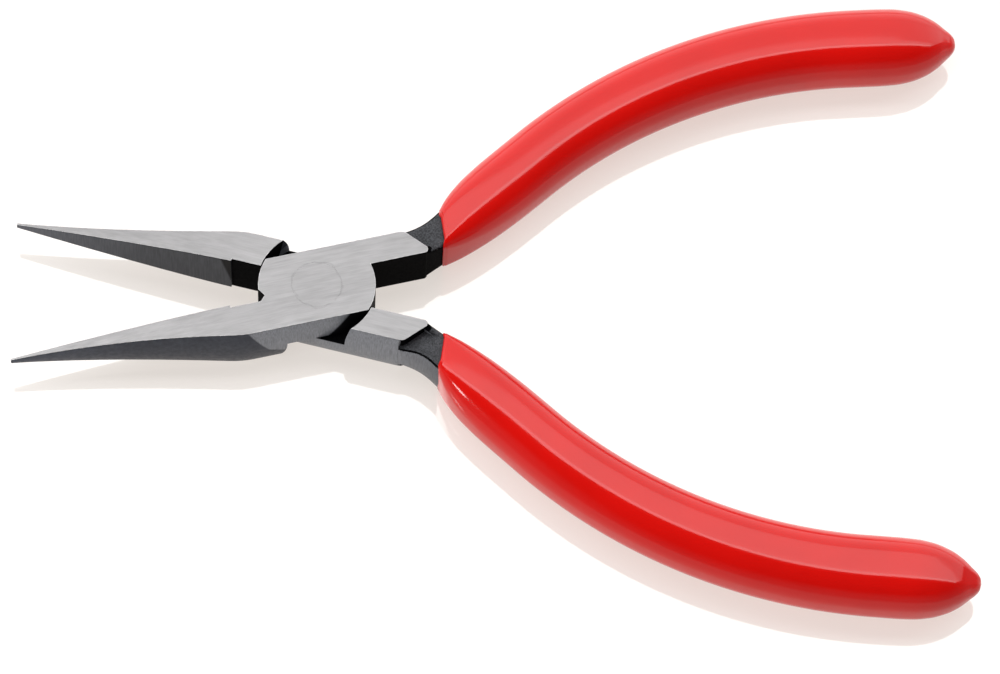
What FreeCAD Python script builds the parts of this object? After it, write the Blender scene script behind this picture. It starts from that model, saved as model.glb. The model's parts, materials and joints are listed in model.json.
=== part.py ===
import FreeCAD, Part
import Sketcher
import math
import os

# Slim flat-nosed pliers with a lap joint, in millimetres.
# Each lever is drawn closed and level: the pivot is the origin, the jaws point along -X,
# the handles along +X, and z = 0 is the middle of the head's thickness.
# The finished pieces are then flipped, opened and lifted so that the head's underside is z = 0.

SIZES = {
    # head
    "head_thick": 7.5,
    "cheek_half": 5.2,
    "side_bulge": 0.65,
    "disc_radius": 7.75,
    "disc_gap": 0.12,
    "lap_gap": 0.04,
    "shank_inner": 1.4,
    "facet_outer": 12.5,
    "facet_inner": 15.5,
    "facet_round": 0.8,
    # jaws
    "jaw_reach": 41.1,
    "jaw_root": 11.2,
    "shoulder_round": 14.0,
    "jaw_hollow": 0.6,
    "tip_wide": 0.3,
    "tip_thick": 0.8,
    "bite_gap": 0.03,
    "bite_flare": 0.42,
    "relief_start": 11.8,
    "relief_deep": 0.3,
    "nick_deep": 0.7,
    "nick_high": 1.0,
    # joint rivet
    "rivet_radius": 2.5,
    "rivet_head": 3.3,
    "rivet_sink": 1.0,
    "rivet_gap": 0.04,
    # neck and tang
    "neck_half": 2.15,
    "neck_thick": 5.7,
    "neck_waist": 4.5,
    "neck_bend": 11.1,
    "neck_edge": 0.35,
    "neck_round": 0.6,
    "web_wide": 1.0,
    "tang_half": 3.3,
    "tang_thick": 6.0,
    "tang_tail_half": 2.6,
    # grips
    "grip_heading": 29.0,
    "grip_front": 17.3,
    "grip_bend": 70.0,
    "grip_turn": 39.0,
    "grip_tail": 14.5,
    "rim_heading": -6.0,
    "rim_wall": 0.62,
    "grip_wall": 1.3,
    "waist_swell": 0.45,
    "tail_swell": 0.6,
    "grip_crown": 0.5,
    # pose
    "opening": 27.8,
}


class Term:
    """A number together with the spreadsheet expression that gives it."""

    def __init__(self, number, text=None):
        self.number = float(number)
        self.text = text if text else repr(round(float(number), 6))

    def _join(self, other, sign, number):
        return Term(number, "(" + self.text + " " + sign + " " + other.text + ")")

    def __add__(self, other):
        other = term(other)
        return self._join(other, "+", self.number + other.number)

    def __sub__(self, other):
        other = term(other)
        return self._join(other, "-", self.number - other.number)

    def __mul__(self, other):
        other = term(other)
        return self._join(other, "*", self.number * other.number)

    def __truediv__(self, other):
        other = term(other)
        return self._join(other, "/", self.number / other.number)

    def __neg__(self):
        return Term(-self.number, "(0 - " + self.text + ")")


def term(value):
    return value if isinstance(value, Term) else Term(value)


def root(value):
    return Term(math.sqrt(value.number), "sqrt(" + value.text + ")")


def sine(degrees):
    return Term(math.sin(math.radians(degrees.number)), "sin(" + degrees.text + ")")


def cosine(degrees):
    return Term(math.cos(math.radians(degrees.number)), "cos(" + degrees.text + ")")


def mix(start, end, share):
    return term(start) * (1 - share) + term(end) * share


doc = FreeCAD.newDocument("Pliers")
sheet = doc.addObject("Spreadsheet::Sheet", "Sizes")
for row, (alias, value) in enumerate(SIZES.items(), start=1):
    sheet.set("A%d" % row, alias)
    sheet.set("B%d" % row, str(value))
    sheet.setAlias("B%d" % row, alias)
doc.recompute()


def size(alias):
    return Term(SIZES[alias], "Sizes." + alias)


half_thick = size("head_thick") / 2
cheek = size("cheek_half")
disc = size("disc_radius")
jaw_length = size("jaw_reach") - size("jaw_root")
bite_root = -(size("bite_gap") + size("bite_flare"))


# ---------------------------------------------------------------- sketches

def plane(body, role):
    return [item for item in body.Origin.OriginFeatures if item.Role == role][0]


def new_sketch(body, name, role):
    sketch = body.newObject("Sketcher::SketchObject", name)
    sketch.AttachmentSupport = [(plane(body, role), "")]
    sketch.MapMode = "FlatFace"
    return sketch


def arc_through(start, end, radius, side):
    """Arc of the given radius from start to end; side +1 bulges to the right of the chord."""
    chord = end - start
    reach = math.sqrt(max(radius * radius - chord.Length ** 2 / 4, 0.0))
    across = FreeCAD.Vector(chord.y, -chord.x, 0).normalize()
    middle = (start + end) / 2 + across * side * (radius - reach)
    return Part.Arc(start, middle, end)


def closed_outline(sketch, corners, arcs=None):
    """Draws a closed outline through the corners. arcs holds {corner: (radius, side)} for the
    stretches that leave that corner as an arc; the others are straight."""
    arcs = arcs or {}
    points = [FreeCAD.Vector(x.number, y.number, 0) for x, y in corners]
    first = sketch.GeometryCount
    for index, point in enumerate(points):
        following = points[(index + 1) % len(points)]
        if index in arcs:
            radius, side = arcs[index]
            sketch.addGeometry(arc_through(point, following, radius.number, side), False)
        else:
            sketch.addGeometry(Part.LineSegment(point, following), False)
    for index, (x, y) in enumerate(corners):
        piece = first + index
        following = first + (index + 1) % len(corners)
        start_here = start_vertex(sketch, piece, points[index])
        end_here = 3 - start_here
        start_next = start_vertex(sketch, following, points[(index + 1) % len(points)])
        sketch.addConstraint(Sketcher.Constraint("Coincident", piece, end_here, following, start_next))
        bind(sketch, Sketcher.Constraint("DistanceX", -1, 1, piece, start_here, x.number), x)
        bind(sketch, Sketcher.Constraint("DistanceY", -1, 1, piece, start_here, y.number), y)
        if index in arcs:
            radius = arcs[index][0]
            bind(sketch, Sketcher.Constraint("Radius", piece, radius.number), radius)


def start_vertex(sketch, piece, point):
    """Arcs run anticlockwise in a sketch, so the corner an arc leaves from may be its end."""
    return 1 if sketch.getPoint(piece, 1).distanceToPoint(point) < 1e-6 else 2


def bind(sketch, constraint, value):
    index = sketch.addConstraint(constraint)
    sketch.setExpression("Constraints[%d]" % index, value.text)


def circle(sketch, radius):
    upright = FreeCAD.Vector(0, 0, 1)
    ring = sketch.addGeometry(Part.Circle(FreeCAD.Vector(0, 0, 0), upright, radius.number), False)
    sketch.addConstraint(Sketcher.Constraint("Coincident", ring, 3, -1, 1))
    bind(sketch, Sketcher.Constraint("Radius", ring, radius.number), radius)


def placed(x, y, z, yaw, pitch, roll):
    """Expression for a placement, with its turns in degrees."""
    base = "vector(%s; %s; %s)" % (x.text, y.text, z.text)
    turn = "rotation(%s; %s; %s)" % (yaw.text, pitch.text, roll.text)
    return "placement(%s; %s)" % (base, turn)


# ---------------------------------------------------------------- head

def barrel_radius():
    """Radius of the crowned side walls, from their height and how far they stand out."""
    bulge = size("side_bulge")
    return (half_thick * half_thick + bulge * bulge) / (bulge * 2)


def head_bar(body):
    """Crowned bar that the cheek and the shank are ground from."""
    sketch = new_sketch(body, "BarSection", "YZ_Plane")
    corners = [(-cheek, -half_thick), (cheek, -half_thick), (cheek, half_thick), (-cheek, half_thick)]
    closed_outline(sketch, corners, {1: (barrel_radius(), 1), 3: (barrel_radius(), 1)})
    sketch.setExpression("AttachmentOffset.Base.z", (-size("jaw_root")).text)
    bar = body.newObject("PartDesign::Pad", "Bar")
    bar.Profile = sketch
    bar.setExpression("Length", (size("jaw_root") + size("facet_inner")).text)


JAW_STATIONS = (0.0, 0.14, 0.32, 0.55, 0.78, 1.0)
RAMP_POWER = 1.4
BULGE_LEFT_AT_TIP = 0.2


def jaw_section(body, index, share):
    """One upright section of the jaw, at a share of the way from its root to its tip."""
    bite = -(size("bite_gap") + size("bite_flare") * (1 - share))
    bow = size("jaw_hollow") * (4 * share * (1 - share))
    outer = -(mix(cheek, size("tip_wide"), share) - bow)
    drop = (size("head_thick") - size("tip_thick")) / 2 * share ** RAMP_POWER
    top = half_thick - drop
    bulge = mix(size("side_bulge"), size("side_bulge") * BULGE_LEFT_AT_TIP, share)
    radius = (top * top + bulge * bulge) / (bulge * 2)
    sketch = new_sketch(body, "JawSection%d" % index, "YZ_Plane")
    corners = [(outer, -top), (bite, -top), (bite, top), (outer, top)]
    closed_outline(sketch, corners, {3: (radius, 1)})
    sketch.setExpression("AttachmentOffset.Base.z", (-(size("jaw_root") + jaw_length * share)).text)
    return sketch


def jaw(body):
    sections = [jaw_section(body, index, share) for index, share in enumerate(JAW_STATIONS)]
    loft = body.newObject("PartDesign::AdditiveLoft", "Jaw")
    loft.Profile = sections[0]
    loft.Sections = sections[1:]
    doc.recompute()
    shoulder = body.newObject("PartDesign::Fillet", "Shoulder")
    shoulder.Base = (loft, [outer_root_edge(loft.Shape)])
    shoulder.setExpression("Radius", "Sizes.shoulder_round")


def outer_root_edge(shape):
    """Name of the upright edge where the jaw's outer wall meets the cheek's."""
    wanted = FreeCAD.Vector(-SIZES["jaw_root"], -SIZES["cheek_half"] - SIZES["side_bulge"], 0)
    away = [edge.distToShape(Part.Vertex(wanted))[0] for edge in shape.Edges]
    return "Edge%d" % (away.index(min(away)) + 1)


def pocket(body, sketch, name):
    cut = body.newObject("PartDesign::Pocket", name)
    cut.Profile = sketch
    cut.Type = "ThroughAll"
    cut.Midplane = True


def on_disc(y, radius):
    """Distance along X at which a circle about the pivot reaches the height y."""
    return root(radius * radius - y * y)


def plan_trims(body):
    """Cuts the bar to the plan of a cheek: round at both ends, with the other lever's jaw and
    handle given their room."""
    clear = size("facet_inner") * 2
    wide = cheek + size("side_bulge")
    left = on_disc(wide, disc)
    sketch = new_sketch(body, "JawSideTrim", "XY_Plane")
    corners = [(-on_disc(bite_root, disc), bite_root), (-left, wide), (-left, clear),
               (-clear, clear), (-clear, bite_root)]
    closed_outline(sketch, corners, {0: (disc, -1)})
    pocket(body, sketch, "JawSide")

    inner = size("shank_inner")
    sketch = new_sketch(body, "HandleSideTrim", "XY_Plane")
    corners = [(on_disc(inner, disc), inner), (left, -wide), (left, -clear), (clear, -clear), (clear, inner)]
    closed_outline(sketch, corners, {0: (disc, -1)})
    pocket(body, sketch, "HandleSide")


OUTER_ROUND_SHARE = 1.5
INNER_ROUND_SHARE = 0.85


def shank_end(body):
    """Slanted end of the ground shank, with both corners eased."""
    ease = size("facet_round")
    half_ease = ease / 2
    inner = size("shank_inner")
    outer_x = size("facet_outer")
    inner_x = size("facet_inner")
    far = inner_x * 2
    slant = [(outer_x, cheek), (outer_x + ease, cheek - half_ease),
             (inner_x, inner + ease), (inner_x - half_ease, inner)]
    corners = slant + [(inner_x - half_ease, -far), (far, -far), (far, far), (outer_x, far)]
    sketch = new_sketch(body, "ShankEndTrim", "XY_Plane")
    closed_outline(sketch, corners, {0: (ease * OUTER_ROUND_SHARE, -1), 2: (ease * INNER_ROUND_SHARE, -1)})
    pocket(body, sketch, "ShankEnd")


def lap_recess(body):
    """Round recess through the lower half, where the other lever's cheek turns."""
    sketch = new_sketch(body, "LapCircle", "XY_Plane")
    circle(sketch, disc + size("disc_gap"))
    sketch.setExpression("AttachmentOffset.Base.z", (size("lap_gap") / 2).text)
    cut = body.newObject("PartDesign::Pocket", "Lap")
    cut.Profile = sketch
    cut.Type = "ThroughAll"


def bite_relief(body):
    """Shallow relief beside the joint, so that the gripping faces clear each other there, with
    the nick where it runs out into the round of the cheek."""
    deep = bite_root - size("relief_deep")
    start = -size("relief_start")
    nick = size("nick_high")
    sketch = new_sketch(body, "ReliefOutline", "XY_Plane")
    corners = [(start, nick), (start, deep), (-on_disc(deep, disc), deep),
               (-(disc - size("nick_deep")), term(0)), (-on_disc(nick, disc), nick)]
    closed_outline(sketch, corners)
    pocket(body, sketch, "Relief")


def rivet_bore(body, gap):
    """Countersunk hole for the rivet. The cheek fills the upper half, so the sink is on top."""
    sketch = new_sketch(body, "BoreProfile", "XZ_Plane")
    bore = size("rivet_radius") + gap
    head = size("rivet_head") + gap
    sink = half_thick - size("rivet_sink")
    zero = term(0)
    far = half_thick * 2
    closed_outline(sketch, [(zero, -far), (bore, -far), (bore, sink), (head, half_thick),
                            (head, far), (zero, far)])
    cut = body.newObject("PartDesign::Groove", "Bore")
    cut.Profile = sketch
    cut.ReferenceAxis = (sketch, ["V_Axis"])
    cut.Angle = 360


# ---------------------------------------------------------------- handles

class Path:
    """Middle line of a handle in plan: straight runs and tangent arcs, one after the other."""

    def __init__(self, x, y):
        self.ends = [(term(x), term(y), term(0))]
        self.runs = []

    def straight(self, length):
        self.runs.append(("straight", term(length), None))
        self.ends.append(self.at(len(self.runs) - 1, 1))

    def arc(self, radius, turn):
        self.runs.append(("arc", term(radius), term(turn)))
        self.ends.append(self.at(len(self.runs) - 1, 1))

    def at(self, run, share):
        """Position and heading at a share of the way along a run; turns to the left are positive."""
        kind, first, turn = self.runs[run]
        x, y, heading = self.ends[run]
        if kind == "straight":
            step = first * share
            return x + cosine(heading) * step, y + sine(heading) * step, heading
        swung = heading + turn * share
        way = 1 if turn.number > 0 else -1
        return (x + (sine(swung) - sine(heading)) * first * way,
                y + (cosine(heading) - cosine(swung)) * first * way, swung)


NECK, FRONT, BEND, TAIL = 1, 2, 3, 4

NECK_ROOT = 2.0
WAIST_CLEAR = 0.07

handle_line = Path(size("facet_outer") - NECK_ROOT, (size("shank_inner") + cheek) / 2)
handle_line.straight(NECK_ROOT)
handle_line.arc(size("neck_bend"), size("grip_heading"))
handle_line.straight(size("grip_front"))
handle_line.arc(size("grip_bend"), -size("grip_turn"))
handle_line.straight(size("grip_tail"))


def handle_section(body, name, station):
    """Rectangle with rounded corners, standing upright across the handle line. Its sides stand
    at the distances inner and outer from that line, and the outer one may be crowned."""
    x, y, along = handle_line.at(station["run"], station["share"])
    inner, outer = -term(station["inner"]), term(station["outer"])
    top, ease = term(station["thick"]) / 2, term(station["ease"])
    high = top - ease
    sketch = new_sketch(body, name, "YZ_Plane")
    corners = [(inner + ease, -top), (outer - ease, -top), (outer, -high), (outer, high),
               (outer - ease, top), (inner + ease, top), (inner, high), (inner, -high)]
    arcs = {corner: (ease, 1) for corner in (1, 3, 5, 7)}
    if "crown" in station:
        arcs[2] = (station["crown"], 1)
    closed_outline(sketch, corners, arcs)
    heading = station.get("heading", along)
    sketch.setExpression("AttachmentOffset", placed(y, term(0), x, term(0), heading, term(0)))
    return sketch


def handle_loft(name, stations):
    """Body lofted through sections along the handle line."""
    body = doc.addObject("PartDesign::Body", name)
    sections = [handle_section(body, "Section%d" % index, station) for index, station in enumerate(stations)]
    loft = body.newObject("PartDesign::AdditiveLoft", "Skin")
    loft.Profile = sections[0]
    loft.Sections = sections[1:]
    return body


# Pairs of a share of the way along a run, and how far the tang has grown or narrowed there.
NECK_GROWTH = ((0.0, 0.0), (0.35, 0.3), (0.7, 0.85), (1.0, 1.0))
TANG_GROWTH = ((0.33, 0.45), (0.67, 0.85), (1.0, 1.0))
TANG_TAPER = ((0.125, 0.0), (0.25, 0.0), (0.375, 0.0), (0.5, 0.33), (0.625, 0.67), (0.75, 1.0))


def tang(name):
    """Forged neck and core of a handle, from inside the shank to short of the grip's tail. The
    neck leaves the shank thin, and flush with its outer wall."""
    neck, full, end = size("neck_half"), size("tang_half"), size("tang_tail_half")
    waist, thin, thick = size("neck_waist"), size("neck_thick"), size("tang_thick")
    edge, crown = size("neck_edge"), barrel_radius()
    to_wall = (cheek - size("shank_inner")) / 2
    flush = to_wall + size("side_bulge") - WAIST_CLEAR
    stations = []
    for share, grown in NECK_GROWTH:
        stations.append({"run": NECK, "share": share, "inner": mix(to_wall - WAIST_CLEAR, neck, grown),
                         "outer": mix(flush, neck, grown), "thick": mix(waist, thin, grown), "ease": edge})
    for share, grown in TANG_GROWTH:
        half = mix(neck, full, grown)
        stations.append({"run": FRONT, "share": share, "inner": half, "outer": half,
                         "thick": mix(thin, thick, grown), "ease": mix(edge, size("neck_round"), grown)})
    for share, narrowed in TANG_TAPER:
        half = mix(full, end, narrowed)
        stations.append({"run": BEND, "share": share, "inner": half, "outer": half,
                         "thick": mix(thick, thin, narrowed), "ease": size("neck_round")})
    for station in stations:
        station["crown"] = crown
    return handle_loft(name, stations)


# Pairs of a share of the way along the neck, and how far the web has come down to its end.
WEB_FALL = ((0.38, 0.0), (0.5, 0.45), (0.62, 0.75), (0.8, 0.92), (1.0, 1.0))


def web(name):
    """Web along the neck's inner edge, which brings the shank's thickness down to the neck's."""
    inner = size("neck_half") - WAIST_CLEAR
    high, low = size("head_thick") - WAIST_CLEAR * 2, size("neck_thick") - WAIST_CLEAR * 2
    stations = [{"run": NECK, "share": share, "inner": inner, "outer": size("web_wide") - inner,
                 "thick": mix(high, low, fallen), "ease": size("neck_edge")} for share, fallen in WEB_FALL]
    return handle_loft(name, stations)


# Pairs of a share of the way along a run, and how far the grip has grown or is left there.
RIM_FLARE = ((0.0, 0.0), (0.13, 0.36), (0.27, 0.62), (0.45, 0.84), (0.7, 0.97))
TAIL_DOME = ((0.0, 1.0), (0.22, 1.0), (0.4, 0.985), (0.56, 0.92), (0.7, 0.79), (0.81, 0.62), (0.91, 0.39),
             (1.0, 0.17))
BEND_STEPS = 7


def grip(name, core):
    """Dipped grip: a rounded skin along the handle, emptied by the tang inside it."""
    wall, rim_wall = size("grip_wall"), size("rim_wall")
    rim, front = size("neck_half") + rim_wall, size("tang_half") + wall
    waist, tail = front + size("waist_swell"), front + size("tail_swell")
    rim_thick, thick = size("neck_thick") + rim_wall * 2, size("tang_thick") + wall * 2
    rim_round, ease = size("neck_round") + rim_wall, thick / 2 - size("grip_crown")
    stations = []

    def add(run, share, half, high, corner, **turned):
        stations.append({"run": run, "share": share, "inner": half, "outer": half,
                         "thick": high, "ease": corner, **turned})

    for share, grown in RIM_FLARE:
        add(FRONT, share, mix(rim, front, grown), mix(rim_thick, thick, grown), mix(rim_round, ease, grown),
            heading=mix(size("rim_heading"), size("grip_heading"), grown))
    for step in range(BEND_STEPS):
        share = step / BEND_STEPS
        add(BEND, share, mix(front, waist, math.sin(share * math.pi / 2)), thick, ease)
    for share, left in TAIL_DOME:
        add(TAIL, share, tail * left, thick * left, ease * left)
    cut = doc.addObject("Part::Cut", name)
    cut.Base = handle_loft(name + "_skin", stations)
    cut.Tool = core
    return cut


# ---------------------------------------------------------------- pieces

def head(name, gap):
    """Jaw, cheek and shank of one lever, ready to take its handle."""
    body = doc.addObject("PartDesign::Body", name)
    head_bar(body)
    plan_trims(body)
    shank_end(body)
    jaw(body)
    lap_recess(body)
    bite_relief(body)
    rivet_bore(body, gap)
    return body


def lever(name, gap):
    """Lever forging and its grip."""
    core = tang(name + "_tang")
    forging = doc.addObject("Part::MultiFuse", name)
    forging.Shapes = [head(name + "_head", gap), core, web(name + "_web")]
    forging.Refine = True
    return forging, grip(name + "_grip", core)


def rivet(name):
    """Rivet with a countersunk head on each side, ground flush with the cheeks."""
    body = doc.addObject("PartDesign::Body", name)
    sketch = new_sketch(body, "RivetProfile", "XZ_Plane")
    shank, crown = size("rivet_radius"), size("rivet_head")
    sink = half_thick - size("rivet_sink")
    zero = term(0)
    closed_outline(sketch, [(zero, -half_thick), (crown, -half_thick), (shank, -sink), (shank, sink),
                            (crown, half_thick), (zero, half_thick)])
    turned = body.newObject("PartDesign::Revolution", "Turned")
    turned.Profile = sketch
    turned.ReferenceAxis = (sketch, ["V_Axis"])
    turned.Angle = 360
    return body


def place(piece, yaw, roll):
    piece.setExpression("Placement", placed(term(0), term(0), half_thick, yaw, term(0), term(roll)))


half_open = size("opening") / 2
pieces = {"joint_rivet": rivet("joint_rivet")}
place(pieces["joint_rivet"], term(0), 0)
for label, gap, yaw, roll in (("top_lever", term(0), half_open, 0),
                              ("bottom_lever", size("rivet_gap"), -half_open, 180)):
    forging, cover = lever(label, gap)
    pieces[label] = forging
    pieces[label + "_grip"] = cover
    place(forging, yaw, roll)
    place(cover, yaw, roll)

doc.recompute()

for item in doc.Objects:
    if "Invalid" in item.State or "Error" in item.State:
        raise RuntimeError("%s failed: %s" % (item.Name, item.State))

os.makedirs("parts", exist_ok=True)
for label, piece in pieces.items():
    piece.Label = label
    shape = piece.Shape
    if shape.isNull() or not shape.isValid() or len(shape.Solids) != 1:
        raise RuntimeError("%s has no single valid solid" % label)
    shape.exportStep("parts/%s.step" % label)
    print(label, round(shape.Volume, 2), "mm3", len(shape.Faces), "faces")
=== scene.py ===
import json
import math
import bpy
import bmesh
from mathutils import Matrix, Vector


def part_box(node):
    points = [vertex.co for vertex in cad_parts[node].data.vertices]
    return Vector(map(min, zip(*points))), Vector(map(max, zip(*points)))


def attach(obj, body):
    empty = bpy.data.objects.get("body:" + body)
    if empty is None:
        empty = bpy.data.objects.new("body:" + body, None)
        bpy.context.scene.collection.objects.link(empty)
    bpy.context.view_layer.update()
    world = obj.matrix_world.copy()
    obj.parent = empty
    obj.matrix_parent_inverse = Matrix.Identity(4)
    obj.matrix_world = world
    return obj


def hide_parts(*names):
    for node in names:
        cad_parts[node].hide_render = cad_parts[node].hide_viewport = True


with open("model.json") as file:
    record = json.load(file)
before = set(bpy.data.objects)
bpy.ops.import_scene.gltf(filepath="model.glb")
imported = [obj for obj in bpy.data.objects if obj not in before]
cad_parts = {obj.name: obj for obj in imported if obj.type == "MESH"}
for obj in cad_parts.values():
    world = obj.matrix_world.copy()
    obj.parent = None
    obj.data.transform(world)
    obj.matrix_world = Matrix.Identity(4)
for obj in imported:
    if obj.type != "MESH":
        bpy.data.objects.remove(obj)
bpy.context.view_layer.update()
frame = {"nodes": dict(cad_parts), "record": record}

scene = bpy.context.scene
mm = 0.001
print("frame loaded:", sorted(frame["nodes"]))

# The tool lies open on its side. Each lever has a frame of its own: pivot at its origin,
# jaw along -X, handle along +X, and Z up through the thickness. Lengths there are in mm.
joint = frame["record"]["behaviour"]["joints"][0]
rivetLow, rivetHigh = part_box("joint_rivet")
tool = {
    "openAngle": 27.8,                                   # between the jaws at rest, in degrees
    "halfThick": (rivetHigh.z - rivetLow.z) / 2 / mm,    # from the middle plane to the cheek
    "rivetRadius": (rivetHigh.x - rivetLow.x) / 2 / mm,
}


# side is 1 for the top lever and -1 for the bottom one, which is turned over
def leverPlace(side):
    turn = Matrix.Rotation(math.radians(side * tool["openAngle"] / 2), 4, "Z")
    over = Matrix.Rotation(0 if side > 0 else math.pi, 4, "X")
    lift = Matrix.Translation(Vector(joint["pos_m"]) + Vector((0, 0, tool["halfThick"] * mm)))
    return lift @ turn @ over @ Matrix.Scale(mm, 4)


# Smooth curve through (x, y) pairs that never overshoots them
def smoothTable(pairs, x):
    if x <= pairs[0][0]:
        return pairs[0][1]
    if x >= pairs[-1][0]:
        return pairs[-1][1]
    slopes = [(b[1] - a[1]) / (b[0] - a[0]) for a, b in zip(pairs, pairs[1:])]
    tangents = [slopes[0]]
    for before, after in zip(slopes, slopes[1:]):
        tangents.append(0.0 if before * after <= 0 else 2 * before * after / (before + after))
    tangents.append(slopes[-1])
    for index, (a, b) in enumerate(zip(pairs, pairs[1:])):
        if x <= b[0]:
            gap = b[0] - a[0]
            t = (x - a[0]) / gap
            return (a[1] * (1 + 2 * t) * (1 - t) ** 2 + tangents[index] * gap * t * (1 - t) ** 2
                    + b[1] * t * t * (3 - 2 * t) + tangents[index + 1] * gap * t * t * (t - 1))


def mix(a, b, share):
    return a + (b - a) * share


def newObject(name, data):
    made = bpy.data.objects.new(name, data)
    scene.collection.objects.link(made)
    return made


# Plain mesh object made from everything the modifiers do
def bakeModifiers(made, name):
    bpy.context.view_layer.update()
    graph = bpy.context.evaluated_depsgraph_get()
    mesh = bpy.data.meshes.new_from_object(made.evaluated_get(graph))
    mesh.name = name
    old = made.data
    bpy.data.objects.remove(made)
    if old.users == 0:
        bpy.data.meshes.remove(old)
    return newObject(name, mesh)


def addNode(tree, kind, **settings):
    node = tree.nodes.new(kind)
    for key, value in settings.items():
        setattr(node, key, value)
    return node


# Gives a socket a link or a plain value
def feed(tree, socket, value):
    if isinstance(value, bpy.types.NodeSocket):
        tree.links.new(value, socket)
    else:
        socket.default_value = value


def mathNode(tree, operation, *values):
    node = addNode(tree, "ShaderNodeMath", operation=operation)
    for socket, value in zip(node.inputs, values):
        feed(tree, socket, value)
    return node.outputs[0]


def added(tree, first, second):
    return mathNode(tree, "ADD", first, second)


def times(tree, first, second):
    return mathNode(tree, "MULTIPLY", first, second)


def less(tree, first, second):
    return mathNode(tree, "SUBTRACT", first, second)


def addVectors(tree, first, second):
    node = addNode(tree, "ShaderNodeVectorMath", operation="ADD")
    tree.links.new(first, node.inputs[0])
    tree.links.new(second, node.inputs[1])
    return node.outputs[0]


def scaled(tree, vector, factor):
    node = addNode(tree, "ShaderNodeVectorMath", operation="SCALE")
    tree.links.new(vector, node.inputs["Vector"])
    tree.links.new(factor, node.inputs["Scale"])
    return node.outputs[0]


def remap(tree, value, low, high, start, end):
    node = addNode(tree, "ShaderNodeMapRange", clamp=True)
    tree.links.new(value, node.inputs[0])
    for socket, number in zip(node.inputs[1:5], (low, high, start, end)):
        socket.default_value = number
    return node.outputs[0]


# Nearly all values of a noise lie from 0.3 to 0.7
def spread(tree, value, span):
    return remap(tree, value, 0.3, 0.7, *span)


def noise(tree, vector, scale, detail=3.0, roughness=0.55):
    node = addNode(tree, "ShaderNodeTexNoise")
    node.inputs["Scale"].default_value = scale
    node.inputs["Detail"].default_value = detail
    node.inputs["Roughness"].default_value = roughness
    tree.links.new(vector, node.inputs["Vector"])
    return node.outputs[0]


# The colour made darker or lighter by a factor
def shadeOf(tree, color, factor):
    node = addNode(tree, "ShaderNodeMix", data_type="RGBA", blend_type="MULTIPLY")
    node.inputs[0].default_value = 1.0
    node.inputs["A"].default_value = (*color, 1)
    grey = addNode(tree, "ShaderNodeCombineColor")
    for socket in grey.inputs:
        tree.links.new(factor, socket)
    tree.links.new(grey.outputs[0], node.inputs["B"])
    return node.outputs["Result"]


def blended(tree, share, first, second, kind="RGBA"):
    node = addNode(tree, "ShaderNodeMix", data_type=kind)
    for key, value in ((0, share), ("A", first), ("B", second)):
        tree.links.new(value, node.inputs[key])
    return node.outputs["Result"]


def bump(tree, shader, height, distance):
    node = addNode(tree, "ShaderNodeBump")
    node.inputs["Strength"].default_value = 1.0
    node.inputs["Distance"].default_value = distance
    tree.links.new(height, node.inputs["Height"])
    tree.links.new(node.outputs[0], shader.inputs["Normal"])


def newMaterial(name, color, metallic, roughness):
    material = bpy.data.materials.new(name)
    material.use_nodes = True
    material.diffuse_color = (*color, 1)
    shader = material.node_tree.nodes["Principled BSDF"]
    shader.inputs["Base Color"].default_value = (*color, 1)
    shader.inputs["Metallic"].default_value = metallic
    shader.inputs["Roughness"].default_value = roughness
    return material, material.node_tree, shader


# Lever coordinates in mm, stretched so that a pattern runs along one axis
def leverCoords(tree, stretch=(1, 1, 1)):
    source = addNode(tree, "ShaderNodeAttribute", attribute_name="leverCo")
    mapping = addNode(tree, "ShaderNodeMapping")
    mapping.inputs["Scale"].default_value = stretch
    tree.links.new(source.outputs["Vector"], mapping.inputs["Vector"])
    return mapping.outputs[0]


def splitCoords(tree):
    source = addNode(tree, "ShaderNodeAttribute", attribute_name="leverCo")
    parts = addNode(tree, "ShaderNodeSeparateXYZ")
    tree.links.new(source.outputs["Vector"], parts.inputs[0])
    return parts.outputs


# How far a point is past the line a*x + b*z + c = 0, run from 0 to 1 over the width
def pastLine(tree, parts, a, b, c, width):
    across = added(tree, times(tree, parts["X"], a), times(tree, parts["Z"], b))
    return remap(tree, added(tree, across, c), 0.0, width, 0.0, 1.0)


groundFinish = {
    "color": (0.228, 0.224, 0.226),
    "metallic": 0.55,
    "roughness": 0.34,
    "shine": (0.42, 0.28),           # roughness where the streaks are weak and strong
    "fine": (0.35, 9.0, 9.0),        # how dense the streaks are along, across and up
    "coarse": (0.26, 2.8, 2.8),
    "cloud": (0.25, 0.35, 0.35),
    "coarseShare": 0.55,
    "contrast": (0.85, 1.11),
    "clouding": (-0.04, 0.04),
    "grain": 0.000003,               # depth of the streaks in metres
}
ringMark = {
    "radius": 3.3,                   # of the rivet's ring, in mm
    "wander": (-0.26, 0.26),
    "wanderScale": 0.6,
    "gapScale": 0.9,
    "gaps": (0.38, 0.56),            # the ring is broken below the first and whole above the second
    "half": (0.05, 0.17),            # where the line starts to fade and where it ends
    "left": (0.1, 1.0),              # how much of it is left where it is broken and where whole
    "tint": 0.13,
    "depth": 1.4,
}


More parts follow.
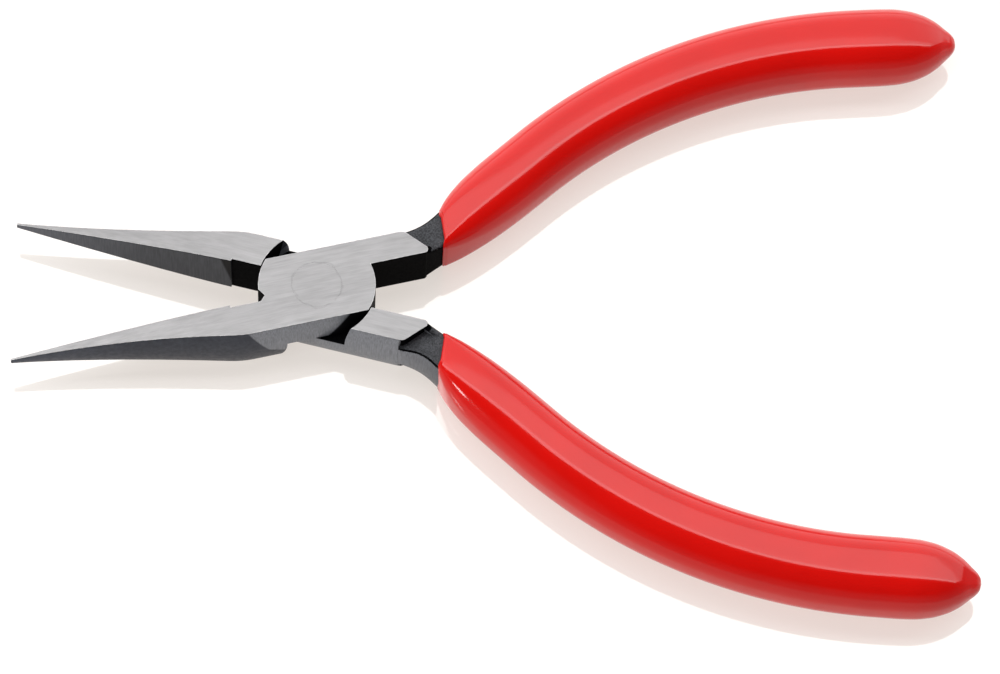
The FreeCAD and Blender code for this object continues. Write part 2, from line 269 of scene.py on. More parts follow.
# Belt-ground steel, its streaks along the lever. The rivet's ring shows through as a faint
# broken line.
def groundSteel(name):
    look = groundFinish
    material, tree, shader = newMaterial(name, look["color"], look["metallic"], look["roughness"])
    fine = noise(tree, leverCoords(tree, look["fine"]), 1.0, 4.0, 0.65)
    coarse = noise(tree, leverCoords(tree, look["coarse"]), 1.0)
    cloud = noise(tree, leverCoords(tree, look["cloud"]), 1.0, 2.0)
    streaks = added(tree, times(tree, fine, 1 - look["coarseShare"]),
                    times(tree, coarse, look["coarseShare"]))
    tint = added(tree, spread(tree, streaks, look["contrast"]),
                 spread(tree, cloud, look["clouding"]))
    wander = noise(tree, leverCoords(tree), ringMark["wanderScale"], 1.0)
    parts = splitCoords(tree)
    squares = added(tree, mathNode(tree, "POWER", parts["X"], 2.0),
                    mathNode(tree, "POWER", parts["Y"], 2.0))
    reach = added(tree, mathNode(tree, "SQRT", squares), spread(tree, wander, ringMark["wander"]))
    away = mathNode(tree, "ABSOLUTE", less(tree, reach, ringMark["radius"]))
    gaps = noise(tree, leverCoords(tree), ringMark["gapScale"], 2.0)
    whole = remap(tree, gaps, *ringMark["gaps"], *ringMark["left"])
    line = times(tree, remap(tree, away, *ringMark["half"], 1.0, 0.0), whole)
    tint = less(tree, tint, times(tree, line, ringMark["tint"]))
    height = less(tree, streaks, times(tree, line, ringMark["depth"]))
    tree.links.new(shadeOf(tree, look["color"], tint), shader.inputs["Base Color"])
    tree.links.new(spread(tree, streaks, look["shine"]), shader.inputs["Roughness"])
    bump(tree, shader, height, look["grain"])
    return material


# Lines are the a, b, c and width that pastLine takes; ranges along the lever are in mm
sideFinish = {
    "ground": (0.200, 0.210, 0.230),
    "forged": (0.056, 0.060, 0.072),
    # Painted shade: near black, where the cheek runs out over the lap
    "scale": (0.002, 0.002, 0.0024),
    "metallic": 0.6,
    "shine": (0.48, 0.36),
    "specular": 0.05,
    "lines": (7.0, 7.0, 0.4),                # how dense the lines and the skin are each way
    "skin": (1.6, 1.6, 1.6),
    "jawLine": (1.0, 0.61, 8.2, 0.25),       # linished behind it
    "scaleLine": (0.55, 1.0, 4.95, 0.3),     # and above it
    "runOutLine": (1.0, -0.82, 0.1, 0.4),    # painted black past it, as shade
    "cheekSide": (-1.0, 1.0),
    # Painted highlight, lighter towards the jaw tip, and painted shade, darker towards the neck
    "tipHighlight": (-48.0, -25.0, 1.85, 1.0),    # from and to along X, and the tint at each
    "neckShade": (12.0, 18.0, 1.08, 0.62),
    "forgedTint": (0.85, 1.12),
    "groundTint": (0.78, 1.22),
    "shadeTint": (0.7, 1.3),
    "grain": 0.000012,
}


# Side walls: linished across at the cheek and shank, left as forged along the jaw, painted lighter
# towards the jaw tip as a highlight and darker towards the neck as shade, and painted black as
# shade where the cheek runs out over the lap
def sideSteel():
    look = sideFinish
    material, tree, shader = newMaterial("sideSteel", look["ground"], look["metallic"], 0.42)
    shader.inputs["Specular IOR Level"].default_value = look["specular"]
    lines = noise(tree, leverCoords(tree, look["lines"]), 1.0, 3.0, 0.6)
    skin = noise(tree, leverCoords(tree, look["skin"]), 1.0, 4.0, 0.6)
    parts = splitCoords(tree)
    behindJaw = pastLine(tree, parts, *look["jawLine"])
    aboveScale = pastLine(tree, parts, *look["scaleLine"])
    linished = mathNode(tree, "MINIMUM", behindJaw, aboveScale)
    runOut = pastLine(tree, parts, *look["runOutLine"])
    # Mask of the painted black shade past the run-out line, on the cheek side
    scale = times(tree, runOut, remap(tree, parts["Y"], *look["cheekSide"], 1.0, 0.0))
    # Painted lighter towards the jaw tip as a highlight, and darker towards the neck as shade
    tipHighlight = remap(tree, parts["X"], *look["tipHighlight"])
    neckShade = remap(tree, parts["X"], *look["neckShade"])
    forgedTint = times(tree, spread(tree, skin, look["forgedTint"]), tipHighlight)
    groundTint = times(tree, spread(tree, lines, look["groundTint"]), neckShade)
    forged = shadeOf(tree, look["forged"], forgedTint)
    ground = shadeOf(tree, look["ground"], groundTint)
    black = shadeOf(tree, look["scale"], spread(tree, skin, look["shadeTint"]))
    color = blended(tree, scale, blended(tree, linished, forged, ground), black)
    tree.links.new(color, shader.inputs["Base Color"])
    # The painted shade is not metallic
    metal = remap(tree, scale, 0.0, 1.0, look["metallic"], 0.0)
    tree.links.new(metal, shader.inputs["Metallic"])
    tree.links.new(spread(tree, skin, look["shine"]), shader.inputs["Roughness"])
    bump(tree, shader, blended(tree, linished, skin, lines, "FLOAT"), look["grain"])
    return material


neckFinish = {
    "color": (0.038, 0.039, 0.043),
    "metallic": 0.75,
    "shine": (0.62, 0.42),
    "sand": 4.5,                     # grains and patches to the mm
    "patches": 0.5,
    "sandTint": (0.6, 1.5),
    "patchTint": (-0.12, 0.12),
    "grain": 0.00008,
}


# Blast-cleaned scale on the neck, with a fine sandy grain
def forgedSteel():
    look = neckFinish
    material, tree, shader = newMaterial("forgedSteel", look["color"], look["metallic"], 0.5)
    sand = noise(tree, leverCoords(tree), look["sand"], 3.0, 0.7)
    patches = noise(tree, leverCoords(tree), look["patches"], 2.0)
    tint = added(tree, remap(tree, sand, 0.35, 0.65, *look["sandTint"]),
                 spread(tree, patches, look["patchTint"]))
    tree.links.new(shadeOf(tree, look["color"], tint), shader.inputs["Base Color"])
    tree.links.new(spread(tree, sand, look["shine"]), shader.inputs["Roughness"])
    bump(tree, shader, sand, look["grain"])
    return material


biteFinish = {
    "color": (0.047, 0.051, 0.061),
    # Painted shade: near black, in the wedge by the relief
    "scale": (0.002, 0.002, 0.0024),
    "metallic": 0.9,
    "shine": (0.42, 0.30),
    "specular": 0.05,
    "lines": (5.0, 0.5, 0.3),
    "wedgeLine": (1.0, -0.26, 12.45, 0.35),
    # Painted highlight, lighter towards the tip
    "tipHighlight": (-50.0, -22.0, 2.6, 0.95),
    "cleanTint": (0.82, 1.14),
    "shadeTint": (0.6, 2.4),
    "grain": 0.000006,
}


# Gripping faces, ground smooth across and painted lighter towards the tip as a highlight;
# a wedge is painted black as shade where they run into the relief
def biteSteel():
    look = biteFinish
    material, tree, shader = newMaterial("biteSteel", look["color"], look["metallic"], 0.34)
    shader.inputs["Specular IOR Level"].default_value = look["specular"]
    lines = noise(tree, leverCoords(tree, look["lines"]), 1.0, 3.0, 0.6)
    parts = splitCoords(tree)
    # Mask of the painted black shade by the relief
    wedge = pastLine(tree, parts, *look["wedgeLine"])
    tipHighlight = remap(tree, parts["X"], *look["tipHighlight"])
    cleanTint = times(tree, spread(tree, lines, look["cleanTint"]), tipHighlight)
    clean = shadeOf(tree, look["color"], cleanTint)
    black = shadeOf(tree, look["scale"], spread(tree, lines, look["shadeTint"]))
    tree.links.new(blended(tree, wedge, clean, black), shader.inputs["Base Color"])
    # The painted shade is not metallic
    metal = remap(tree, wedge, 0.0, 1.0, look["metallic"], 0.0)
    tree.links.new(metal, shader.inputs["Metallic"])
    tree.links.new(spread(tree, lines, look["shine"]), shader.inputs["Roughness"])
    bump(tree, shader, lines, look["grain"])
    return material


recessShadeFinish = {
    # Painted shade: near black, for faces that lie in shade
    "color": (0.0014, 0.0014, 0.0017),
    "shine": (0.6, 0.45),
    # so little shine that the painted shade stays dark
    "specular": 0.01,
    "skin": 3.0,
    "tint": (0.7, 1.3),
    "grain": 0.00001,
}


# Milled walls and floor of the lap, and the other faces of the recess zone, painted near black with
# almost no shine as shade
def recessShadeSteel():
    look = recessShadeFinish
    material, tree, shader = newMaterial("recessShadeSteel", look["color"], 0.0, 0.5)
    shader.inputs["Specular IOR Level"].default_value = look["specular"]
    skin = noise(tree, leverCoords(tree), look["skin"])
    color = shadeOf(tree, look["color"], spread(tree, skin, look["tint"]))
    tree.links.new(color, shader.inputs["Base Color"])
    tree.links.new(spread(tree, skin, look["shine"]), shader.inputs["Roughness"])
    bump(tree, shader, skin, look["grain"])
    return material


# Painted highlight: a bright steel colour for the eased edges
edgeHighlightFinish = {
    "color": (0.42, 0.415, 0.415),
    "shine": (0.38, 0.26),
    "highlightPatches": 1.4,                     # patches to the mm
    "tint": (0.55, 1.1),
}


# Eased edges painted brighter than the faces beside them: a painted highlight that varies in
# patches
def edgeHighlightSteel():
    look = edgeHighlightFinish
    material, tree, shader = newMaterial("edgeHighlightSteel", look["color"], 1.0, 0.3)
    highlightPatch = noise(tree, leverCoords(tree), look["highlightPatches"])
    color = shadeOf(tree, look["color"], remap(tree, highlightPatch, 0.35, 0.6, *look["tint"]))
    tree.links.new(color, shader.inputs["Base Color"])
    tree.links.new(spread(tree, highlightPatch, look["shine"]), shader.inputs["Roughness"])
    return material


coatFinish = {
    "color": (0.52, 0.002, 0.0007),
    "sheen": (0.5, 0.12, 0.06),      # the broad highlight under the gloss is tinted by the red
    "specular": 0.08,
    "roughness": 0.42,
    "shine": (0.46, 0.38),
    "gloss": 0.11,
    "glossIor": 1.4,
    "cloud": 90.0,                   # patches and pores to the metre
    "clouding": (0.95, 1.05),
    "peel": 900.0,
    "peelDepth": 0.000008,
}


# Dipped plastic, glossy over a soft red body
def coatRed():
    look = coatFinish
    material, tree, shader = newMaterial("coatRed", look["color"], 0.0, look["roughness"])
    shader.inputs["Specular IOR Level"].default_value = look["specular"]
    shader.inputs["Specular Tint"].default_value = (*look["sheen"], 1)
    shader.inputs["Coat Weight"].default_value = 1.0
    shader.inputs["Coat IOR"].default_value = look["glossIor"]
    shader.inputs["Coat Roughness"].default_value = look["gloss"]
    source = addNode(tree, "ShaderNodeTexCoord").outputs["Object"]
    cloud = noise(tree, source, look["cloud"], 2.0)
    peel = noise(tree, source, look["peel"], 2.0)
    color = shadeOf(tree, look["color"], spread(tree, cloud, look["clouding"]))
    tree.links.new(color, shader.inputs["Base Color"])
    tree.links.new(spread(tree, peel, look["shine"]), shader.inputs["Roughness"])
    bump(tree, shader, peel, look["peelDepth"])
    return material


grip = {
    "start": (12.5, 3.3),            # where the neck starts to bend, in the lever's frame
    "neckBend": 11.1,                # radius and turn of the neck
    "neckTurn": 29.0,
    "front": 17.3,                   # straight run from the rim
    "bend": 70.0,                    # radius and turn of the long bow
    "turn": 39.0,
    "tail": 14.5,                    # straight run to the very end
    "neckHalf": (2.15, 2.85),        # half width and half height of the forging at the rim
    "rimHalf": (2.77, 3.47),
    "frontHalf": 4.6,                # half width where the front run ends, and further back
    "waistHalf": 5.05,
    "tailHalf": 5.2,
    "highHalf": 4.3,
    "rimRound": 1.22,                # corner radius at the rim and further on
    "fullRound": 3.8,
    "rimHeading": -6.0,
    "rimBow": 0.5,                   # the rim runs back by this much in the middle of the flats
    "bowRun": 4.0,                   # and the bow is gone this far behind it
    "lipRound": 0.6,                 # corner radius where the lip meets the neck
    "sink": 0.05,                    # the skin starts this far inside the neck
    "sinkAt": 0.3,                   # and this far behind the rim
    "lipSteps": 8,
    "frontSteps": 40,
    "frontCrowd": 1.25,              # above 1, sections stand closer together near the rim
    "bendSteps": 60,
    "tailSteps": 48,
    "tailCrowd": 1.6,                # the same at the very end
    "around": 72,                    # points round a section
    "weld": 0.000002,                # points nearer than this, in metres, are one
    "waviness": 0.00004,             # how far the dipped skin wanders
    "waveSize": 45.0,
    "seed": 3,
}
# share of the front run, and how far the grip has grown there
rimFlare = ((0.0, 0.0), (0.13, 0.36), (0.27, 0.62), (0.45, 0.84), (0.7, 0.97), (1.0, 1.0))
# share of the tail run, and how much of the section is left there
tailDome = ((0.0, 1.0), (0.22, 1.0), (0.4, 0.985), (0.56, 0.92), (0.7, 0.79), (0.81, 0.62),
            (0.91, 0.39), (0.965, 0.25), (0.99, 0.14), (1.0, 0.0))
# mm behind the rim, share of the neck's half sizes, and corner radius of the closed inner end
hiddenEnd = ((2.6, 0.0, 0.0), (2.4, 0.5, 0.3), (1.2, 0.8, 0.5))

forging = {
    "weld": 0.0000008,               # vertices nearer than this are one
    "flat": 0.3,                     # degrees within which faces are one plane
    "sharp": 24.0,                   # degrees from which an edge is eased
    "edgeWidth": 0.00008,            # how much is taken off an edge of a ground face
    "sideEase": 0.6,                 # share of it that is taken off the other edges
    "rimClear": 0.15,                # the hole's edges are left alone, this far past the rivet
    "skinDepth": 0.06,               # a face this near the outside is ground
    "jawRoot": -11.2,                # where the jaw starts
    "biteEnd": -11.6,                # where the gripping face runs into the relief
    "neckStart": 12.6,               # where the forged neck starts, and where the shank ends
    "shankTip": 15.9,
    "neckHigh": 2.2,                 # the shank's end wall shows above the neck from here
    "webEdge": -1.05,                # the web lies further in than this from the neck's line
    "wallAt": 5.0,                   # the outer walls stand further out than this
}
# How far a face's normal points each way before it counts as facing there
facing = {"up": 0.6, "wall": 0.3, "out": 0.5, "in": -0.3, "tip": 0.12, "crease": 0.93}
# The recess zone is painted near black as shade, and the edge zone is painted bright as a highlight
zoneNames = ("ground", "side", "forged", "bite", "recess", "edge")


# Neck and handle: linished outside and sandy on the flats; painted near black as shade on the
# shank's end wall above the neck, along the outer crease, in the corner behind the shank and on the
# inner walls
def neckZone(centre, normal):
    startX, startY = grip["start"]
    bend = grip["neckBend"]
    offset = bend - math.hypot(centre.x - startX, centre.y - startY - bend)
    byShank = centre.x < forging["shankTip"]
    onWall = abs(normal.z) < facing["wall"]
    if onWall and byShank and normal.x > facing["tip"] and abs(centre.z) > forging["neckHigh"]:
        return "recess"
    if normal.y > facing["out"] and onWall:
        return "side"
    onCrease = offset > 0 and abs(normal.z) < facing["crease"]
    inCorner = offset < forging["webEdge"] and byShank
    inside = normal.y < facing["in"] and abs(normal.z) < facing["up"]
    return "recess" if onCrease or inCorner or inside else "forged"


# Finish of a face, or the painted shade of the recess zone, from where it is and how it faces in
# the lever's own frame
def zoneOf(centre, normal):
    level = abs(normal.z) > facing["up"]
    onSkin = abs(centre.z) > tool["halfThick"] - forging["skinDepth"]
    if level and (onSkin or centre.x < forging["jawRoot"]):
        return "ground"
    if centre.x > forging["neckStart"]:
        return neckZone(centre, normal)
    if level:
        return "recess"
    if centre.x < forging["biteEnd"]:
        return "bite" if normal.y > facing["out"] else "side"
    outer = abs(centre.y) > forging["wallAt"] and abs(normal.y) > facing["out"]
    return "side" if outer else "recess"


# Vertices of the CAD copy welded, flat faces made whole, and each face given its finish or its
# painted shade
def sortedForging(mesh, inverse, materials):
    shape = bmesh.new()
    shape.from_mesh(mesh)
    bmesh.ops.remove_doubles(shape, verts=shape.verts, dist=forging["weld"])
    bmesh.ops.dissolve_limit(shape, angle_limit=math.radians(forging["flat"]),
                             verts=shape.verts, edges=shape.edges)
    for face in shape.faces:
        normal = (inverse.to_3x3() @ face.normal).normalized()
        zone = zoneOf(inverse @ face.calc_center_median(), normal)
        face.material_index = zoneNames.index(zone)
        face.smooth = True
    weight = shape.edges.layers.float.new("bevel_weight_edge")
    groundZone = zoneNames.index("ground")
    rim = tool["rivetRadius"] + forging["rimClear"]
    for edge in shape.edges:
        middle = inverse @ ((edge.verts[0].co + edge.verts[1].co) / 2)
        onGround = any(face.material_index == groundZone for face in edge.link_faces)
        onRim = math.hypot(middle.x, middle.y) < rim
        onNeck = middle.x > forging["neckStart"] and not onGround
        if onRim or onNeck or not edge.is_manifold:
            continue
        if edge.calc_face_angle() > math.radians(forging["sharp"]):
            edge[weight] = 1.0 if onGround else forging["sideEase"]
    mesh.materials.clear()
    for zone in zoneNames:
        mesh.materials.append(materials[zone])
    shape.to_mesh(mesh)
    shape.free()


# Eased edges away from the ground faces take the finish of the face beside them, so the painted
# highlight stays only on the edges of ground faces
def finishEdges(mesh):
    shape = bmesh.new()
    shape.from_mesh(mesh)
    edgeZone, groundZone = zoneNames.index("edge"), zoneNames.index("ground")
    changed = {}
    for face in shape.faces:
        if face.material_index != edgeZone:
            continue
        near = [other for corner in face.verts for other in corner.link_faces
                if other.material_index != edgeZone]
        if near and not any(other.material_index == groundZone for other in near):
            changed[face] = max(near, key=lambda other: other.calc_area()).material_index
    for face, zone in changed.items():
        face.material_index = zone
    shape.to_mesh(mesh)
    shape.free()


def storeLeverCoords(made, inverse):
    layer = made.data.attributes.new("leverCo", "FLOAT_VECTOR", "POINT")
    for item, vertex in zip(layer.data, made.data.vertices):
        item.vector = inverse @ vertex.co


def forgedLever(name, node, body, side, materials):
    inverse = leverPlace(side).inverted()
    mesh = frame["nodes"][node].data.copy()
    sortedForging(mesh, inverse, materials)
    made = newObject(name + "Rough", mesh)
    with bpy.context.temp_override(object=made, active_object=made, selected_objects=[made]):
        bpy.ops.mesh.customdata_custom_splitnormals_clear()
    ease = made.modifiers.new("ease", "BEVEL")
    ease.width = forging["edgeWidth"]
    ease.segments = 2
    ease.limit_method = "WEIGHT"
    ease.use_clamp_overlap = False
    # The eased edges get the painted highlight
    ease.material = zoneNames.index("edge")
    steady = made.modifiers.new("steady", "WEIGHTED_NORMAL")
    steady.keep_sharp = True
    made = bakeModifiers(made, name)
    finishEdges(made.data)
    storeLeverCoords(made, inverse)
    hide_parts(node)
    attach(made, body)
    print(name, len(made.data.polygons), "faces")


steel = {
    "ground": groundSteel("groundSteel"), "side": sideSteel(), "forged": forgedSteel(),
    "bite": biteSteel(), "recess": recessShadeSteel(), "edge": edgeHighlightSteel(),
}
print("steel finishes made:", ", ".join(steel))
forgedLever("topLeverForging", "top_lever", "top_half", 1, steel)
forgedLever("bottomLeverForging", "bottom_lever", "bottom_half", -1, steel)


rivet = {
    "rimEase": 0.015,                # mm taken off the rim of each head
    "undercut": 0.8,                 # the shank is this much slimmer than the heads
    "headHigh": 1.0,
    "steps": 96,                     # points round it
    "weld": 0.001,                   # points nearer than this are one
}


# Turned rivet, its heads ground flush and their rims eased by a hair
def jointRivet():
    place = leverPlace(1)
    radius, half, ease = tool["rivetRadius"], tool["halfThick"], rivet["rimEase"]
    shank, under = radius - rivet["undercut"], half - rivet["headHigh"]
    profile = [(0.0, -half), (radius - ease, -half), (radius, -half + ease), (shank, -under),
               (shank, under), (radius, half - ease), (radius - ease, half), (0.0, half)]
    shape = bmesh.new()
    points = [shape.verts.new((x, 0, z)) for x, z in profile]
    edges = [shape.edges.new(pair) for pair in zip(points, points[1:])]
    bmesh.ops.spin(shape, geom=points + edges, cent=(0, 0, 0), axis=(0, 0, 1), angle=math.tau,
                   steps=rivet["steps"], use_merge=True)
    bmesh.ops.remove_doubles(shape, verts=shape.verts, dist=rivet["weld"])
    bmesh.ops.recalc_face_normals(shape, faces=shape.faces)
    shape.transform(place)
    mesh = bpy.data.meshes.new("jointRivet")
    shape.to_mesh(mesh)
    shape.free()
    mesh.materials.append(groundSteel("rivetSteel"))
    made = newObject("jointRivet", mesh)
    storeLeverCoords(made, place.inverted())
    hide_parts("joint_rivet")
    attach(made, "top_half")
    print("jointRivet", len(mesh.polygons), "faces")


jointRivet()


# Next position and heading after a straight run, or an arc with way 1 left and -1 right
def along(x, y, heading, distance, radius=None, way=0):
    before = math.radians(heading)
    if radius is None:
        return x + math.cos(before) * distance, y + math.sin(before) * distance, heading
    after = before + way * distance / radius
    return (x + (math.sin(after) - math.sin(before)) * radius * way,
            y + (math.cos(before) - math.cos(after)) * radius * way, math.degrees(after))


# Sections from the hidden end round the neck, over the lip, and along to the tail:
# x, y, heading, half width, half height, corner radius and bow of each
def gripStations():
    front, bendLength = grip["front"], math.radians(grip["turn"]) * grip["bend"]
    neckLength = math.radians(grip["neckTurn"]) * grip["neckBend"]
    neckEnd = along(*grip["start"], 0.0, neckLength, grip["neckBend"], 1)
    bendStart = along(*neckEnd, front)
    bendEnd = along(*bendStart, bendLength, grip["bend"], -1)
    neckWide, neckHigh = grip["neckHalf"]
    rimWide, rimHigh = grip["rimHalf"]
    highHalf, fullRound = grip["highHalf"], grip["fullRound"]
    stations = []

    def rimSection(distance, wide, high, corner):
        x, y = along(*neckEnd, distance)[:2]
        stations.append((x, y, grip["rimHeading"], wide, high, corner, grip["rimBow"]))

    for distance, share, corner in hiddenEnd:
        rimSection(distance, neckWide * share, neckHigh * share, corner)
    sink = grip["sink"]
    rimSection(grip["sinkAt"], neckWide - sink, neckHigh - sink, grip["lipRound"])
    lip = (rimWide - neckWide) / 2
    for step in range(grip["lipSteps"] + 1):       # half-round lip between the neck and the skin
        angle = math.pi * step / grip["lipSteps"]
        grown = (1 - math.cos(angle)) / 2
        rimSection(lip - math.sin(angle) * lip, mix(neckWide, rimWide, grown),
                   mix(neckHigh, rimHigh, grown), mix(grip["lipRound"], grip["rimRound"], grown))
    for step in range(1, grip["frontSteps"] + 1):
        share = (step / grip["frontSteps"]) ** grip["frontCrowd"]
        if share * front < lip * 1.3:              # the lip reaches this far already
            continue
        grown = smoothTable(rimFlare, share)
        x, y, heading = along(*neckEnd, share * front)
        stations.append((x, y, mix(grip["rimHeading"], heading, grown),
                         mix(rimWide, grip["frontHalf"], grown), mix(rimHigh, highHalf, grown),
                         mix(grip["rimRound"], fullRound, grown),
                         grip["rimBow"] * max(0.0, 1 - share * front / grip["bowRun"])))
    for step in range(1, grip["bendSteps"] + 1):
        share = step / grip["bendSteps"]
        x, y, heading = along(*bendStart, share * bendLength, grip["bend"], -1)
        wide = mix(grip["frontHalf"], grip["waistHalf"], math.sin(share * math.pi / 2))
        wide = mix(wide, grip["tailHalf"], share ** 4)
        stations.append((x, y, heading, wide, highHalf, fullRound, 0.0))
    for step in range(1, grip["tailSteps"] + 1):
        share = 1 - (1 - step / grip["tailSteps"]) ** grip["tailCrowd"]
        left = smoothTable(tailDome, share)
        x, y, heading = along(*bendEnd, share * grip["tail"])
        stations.append((x, y, heading, grip["tailHalf"] * left, highHalf * left,
                         fullRound * left, 0.0))
    return stations


gripInputs = (("Points Around", "Int"), ("Waviness", "Float"), ("Wave Size", "Float"),
              ("Seed", "Int"), ("Weld", "Float"), ("Coat", "Material"))


# Sweeps a rounded section along the points of a line, which carry its sizes
def gripTree():
    tree = bpy.data.node_groups.new("dippedGrip", "GeometryNodeTree")
    face = tree.interface
    for name, kind in (("Geometry", "Geometry"), *gripInputs):
        face.new_socket(name, in_out="INPUT", socket_type="NodeSocket" + kind)
    face.new_socket("Geometry", in_out="OUTPUT", socket_type="NodeSocketGeometry")
    given = addNode(tree, "NodeGroupInput").outputs
    result = addNode(tree, "NodeGroupOutput")
    rings = addNode(tree, "GeometryNodeAttributeDomainSize", component="MESH")
    tree.links.new(given["Geometry"], rings.inputs[0])
    columns = added(tree, given["Points Around"], 1.0)
    grid = addNode(tree, "GeometryNodeMeshGrid")
    tree.links.new(rings.outputs["Point Count"], grid.inputs["Vertices X"])
    tree.links.new(columns, grid.inputs["Vertices Y"])
    index = addNode(tree, "GeometryNodeInputIndex").outputs[0]
    ring = mathNode(tree, "DIVIDE", added(tree, index, 0.5), columns)
    ring = mathNode(tree, "FLOOR", ring)
    spot = less(tree, index, times(tree, ring, columns))
    turn = times(tree, mathNode(tree, "DIVIDE", spot, given["Points Around"]), math.tau)
    turn = added(tree, turn, math.tau / 8)             # the seam runs along a corner

    def sampled(kind, source):
        node = addNode(tree, "GeometryNodeSampleIndex", data_type=kind, domain="POINT")
        tree.links.new(given["Geometry"], node.inputs["Geometry"])
        tree.links.new(source, node.inputs["Value"])
        tree.links.new(ring, node.inputs["Index"])
        return node.outputs[0]

    def named(kind, name):
        node = addNode(tree, "GeometryNodeInputNamedAttribute", data_type=kind)
        node.inputs["Name"].default_value = name
        return sampled(kind, node.outputs["Attribute"])

    centre = sampled("FLOAT_VECTOR", addNode(tree, "GeometryNodeInputPosition").outputs[0])
    sideways, upward, forward = (
        named("FLOAT_VECTOR", name) for name in ("sideways", "upward", "forward"))
    halfWide, halfHigh, corner, bow = (
        named("FLOAT", name) for name in ("halfWide", "halfHigh", "corner", "bow"))

    # A rounded rectangle: the corner's circle, moved out to its corner
    def reach(half, wave):
        flat = times(tree, less(tree, half, corner), mathNode(tree, "SIGN", wave))
        return added(tree, flat, times(tree, corner, wave))

    wide = reach(halfWide, mathNode(tree, "COSINE", turn))
    high = reach(halfHigh, mathNode(tree, "SINE", turn))
    section = addVectors(tree, scaled(tree, sideways, wide), scaled(tree, upward, high))
    least = mathNode(tree, "MAXIMUM", halfWide, 0.01)  # the closed ends have no width
    offCentre = mathNode(tree, "POWER", mathNode(tree, "DIVIDE", wide, least), 2.0)
    back = times(tree, bow, less(tree, 1.0, mathNode(tree, "MINIMUM", offCentre, 1.0)))
    section = addVectors(tree, section, scaled(tree, forward, back))
    place = addNode(tree, "GeometryNodeSetPosition")
    tree.links.new(grid.outputs["Mesh"], place.inputs["Geometry"])
    tree.links.new(addVectors(tree, centre, section), place.inputs["Position"])
    weld = addNode(tree, "GeometryNodeMergeByDistance")
    tree.links.new(given["Weld"], weld.inputs["Distance"])
    tree.links.new(place.outputs[0], weld.inputs["Geometry"])
    wave = addNode(tree, "ShaderNodeTexNoise", noise_dimensions="4D")
    wave.inputs["Detail"].default_value = 1.0
    tree.links.new(given["Wave Size"], wave.inputs["Scale"])
    tree.links.new(given["Seed"], wave.inputs["W"])
    position = addNode(tree, "GeometryNodeInputPosition").outputs[0]
    tree.links.new(position, wave.inputs["Vector"])
    amount = times(tree, less(tree, wave.outputs[0], 0.5), given["Waviness"])
    normal = addNode(tree, "GeometryNodeInputNormal").outputs[0]
    sway = addNode(tree, "GeometryNodeSetPosition")
    tree.links.new(weld.outputs[0], sway.inputs["Geometry"])
    tree.links.new(scaled(tree, normal, amount), sway.inputs["Offset"])
    smooth = addNode(tree, "GeometryNodeSetShadeSmooth")
    tree.links.new(sway.outputs[0], smooth.inputs["Geometry"])
    realize = addNode(tree, "GeometryNodeRealizeInstances")
    tree.links.new(smooth.outputs[0], realize.inputs[0])
    paint = addNode(tree, "GeometryNodeSetMaterial")
    tree.links.new(realize.outputs[0], paint.inputs["Geometry"])
    tree.links.new(given["Coat"], paint.inputs["Material"])
    tree.links.new(paint.outputs[0], result.inputs[0])
    return tree


# The line of points that the section is swept along, with its sizes stored on them
def gripLine(name, place):
    turn = place.to_3x3()
    stations = gripStations()
    mesh = bpy.data.meshes.new(name)
    mesh.from_pydata([place @ Vector((x, y, 0)) for x, y, *sizes in stations],
                     [(i, i + 1) for i in range(len(stations) - 1)], [])
    for key in ("sideways", "upward", "forward"):
        mesh.attributes.new(key, "FLOAT_VECTOR", "POINT")
    for key in ("halfWide", "halfHigh", "corner", "bow"):
        mesh.attributes.new(key, "FLOAT", "POINT")
    for i, (x, y, heading, wide, high, corner, bow) in enumerate(stations):
        angle = math.radians(heading)
        ahead = Vector((math.cos(angle), math.sin(angle), 0))
        mesh.attributes["forward"].data[i].vector = turn @ ahead
        mesh.attributes["sideways"].data[i].vector = turn @ Vector((-ahead.y, ahead.x, 0))
        mesh.attributes["upward"].data[i].vector = turn @ Vector((0, 0, 1))
        mesh.attributes["halfWide"].data[i].value = wide
        mesh.attributes["halfHigh"].data[i].value = high
        mesh.attributes["corner"].data[i].value = min(corner, wide, high)
        mesh.attributes["bow"].data[i].value = bow
    return newObject(name, mesh)


def dippedGrip(name, node, body, side, tree, coat):
    made = gripLine(name + "Line", leverPlace(side))
    sweep = made.modifiers.new("sweep", "NODES")
    sweep.node_group = tree
    given = {"Points Around": grip["around"], "Waviness": grip["waviness"],
             "Wave Size": grip["waveSize"], "Seed": grip["seed"] + side, "Weld": grip["weld"],
             "Coat": coat}
    for item in tree.interface.items_tree:
        if item.item_type == "SOCKET" and item.in_out == "INPUT" and item.name in given:
            sweep[item.identifier] = given[item.name]
    made = bakeModifiers(made, name)
    shape = bmesh.new()
    shape.from_mesh(made.data)
    if shape.calc_volume(signed=True) < 0:             # faces have to point outwards
        bmesh.ops.reverse_faces(shape, faces=shape.faces)
    shape.to_mesh(made.data)
    shape.free()
    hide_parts(node)
    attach(made, body)
    print(name, len(made.data.polygons), "faces")


coat = coatRed()
sweepTree = gripTree()
dippedGrip("topGripCoat", "top_lever_grip", "top_half", 1, sweepTree, coat)
dippedGrip("bottomGripCoat", "bottom_lever_grip", "bottom_half", -1, sweepTree, coat)


stage = {
    "size": 3.0,
    "drop": 0.00002,
    "color": (0.25, 0.25, 0.25),
    "glow": (0.635, 0.588, 0.548),   # lit a little from below, so shadows stay pale and warm
    "gloss": 0.05,
    "ior": 1.85,                     # high, so that the tool is mirrored softly beneath itself
}


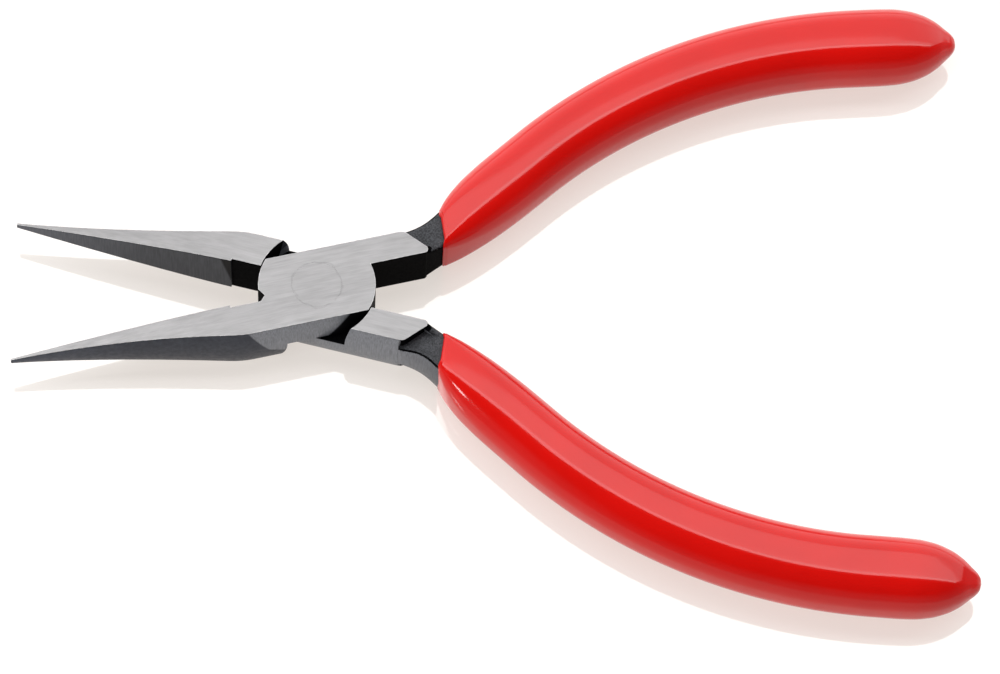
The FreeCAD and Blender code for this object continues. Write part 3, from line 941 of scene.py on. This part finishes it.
def whiteFloor():
    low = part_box("top_lever_grip")[0].z - stage["drop"]
    half = stage["size"] / 2
    corners = [(-half, -half, low), (half, -half, low), (half, half, low), (-half, half, low)]
    mesh = bpy.data.meshes.new("floor")
    mesh.from_pydata(corners, [], [(0, 1, 2, 3)])
    material, tree, shader = newMaterial("floorWhite", stage["color"], 0.0, stage["gloss"])
    shader.inputs["IOR"].default_value = stage["ior"]
    shader.inputs["Emission Color"].default_value = (*stage["glow"], 1)
    shader.inputs["Emission Strength"].default_value = 1.0
    mesh.materials.append(material)
    floor = newObject("floor", mesh)


lamps = {
    "aim": (0.02, 0, 0),
    "room": (0.05, 0.6, 0.45, 0.09),      # low and high up the walls, and the light at each
    "rise": 42.0,                         # how high the back light stands, in degrees
    "wide": 3.4,
    "high": 1.5,
    "power": 27,
    # strips before its upper half: name, how far up it, height and power
    "bandGap": 0.02,
    "bands": (("upperBand", 0.42, 0.26, 4.0), ("topBand", 0.65, 0.18, 7.0)),
    # name, place, size and power of the fills, which aren't mirrored
    "fills": (("topFill", (0.0, -0.1, 1.2), (1.6, 1.6), 1.5),
              ("leftFill", (-1.0, -0.35, 0.45), (0.9, 0.7), 6),
              ("frontFill", (0.15, -1.0, 0.3), (0.8, 0.4), 2.2)),
    # the spark on the near grip's front
    "glint": {"place": (-0.82, -0.27, 0.485), "aim": (0.019, -0.015, 0.007),
              "size": (0.12, 0.12), "power": 1.0},
}


def softbox(name, place, aim, size, power):
    light = bpy.data.lights.new(name, "AREA")
    light.shape = "RECTANGLE"
    light.size, light.size_y = size
    light.energy = power
    made = newObject(name, light)
    made.location = place
    made.rotation_euler = (Vector(aim) - Vector(place)).to_track_quat("-Z", "Y").to_euler()
    made.visible_camera = False
    return made


# Room light that is brighter near the floor than overhead
def room():
    world = bpy.data.worlds.new("studio")
    scene.world = world
    world.use_nodes = True
    tree = world.node_tree
    direction = addNode(tree, "ShaderNodeTexCoord").outputs["Generated"]
    parts = addNode(tree, "ShaderNodeSeparateXYZ")
    tree.links.new(direction, parts.inputs[0])
    light = remap(tree, parts.outputs["Z"], *lamps["room"])
    color = addNode(tree, "ShaderNodeCombineColor")
    for socket in color.inputs:
        tree.links.new(light, socket)
    tree.links.new(color.outputs[0], tree.nodes["Background"].inputs["Color"])


# A wide box behind, brighter towards its top, gives the long highlights
def studio():
    aim, wide = lamps["aim"], lamps["wide"]
    up, back = math.sin(math.radians(lamps["rise"])), math.cos(math.radians(lamps["rise"]))
    softbox("backBox", (aim[0], back, up), aim, (wide, lamps["high"]), lamps["power"])
    near = 1 - lamps["bandGap"]
    for name, climb, high, power in lamps["bands"]:
        place = (aim[0], near * back - climb * up, near * up + climb * back)
        softbox(name, place, aim, (wide, high), power)
    for name, place, size, power in lamps["fills"]:
        softbox(name, place, aim, size, power).visible_glossy = False
    softbox("glint", **lamps["glint"])


view = {
    "place": (0.001794, -0.307948, 0.601679),
    "turn": (26.8228, -2.0942, -0.0996),      # degrees round X, Y and Z
    "lens": 183.37,
    "sensor": 36.0,
    "clip": (0.01, 20),
}


def addCamera():
    camera = bpy.data.cameras.new("camera")
    camera.sensor_width = view["sensor"]
    camera.lens = view["lens"]
    camera.clip_start, camera.clip_end = view["clip"]
    made = newObject("camera", camera)
    made.location = view["place"]
    made.rotation_euler = [math.radians(angle) for angle in view["turn"]]
    scene.camera = made


whiteFloor()
room()
studio()
addCamera()
scene.view_settings.view_transform = "Standard"
print("stage, light and camera set")
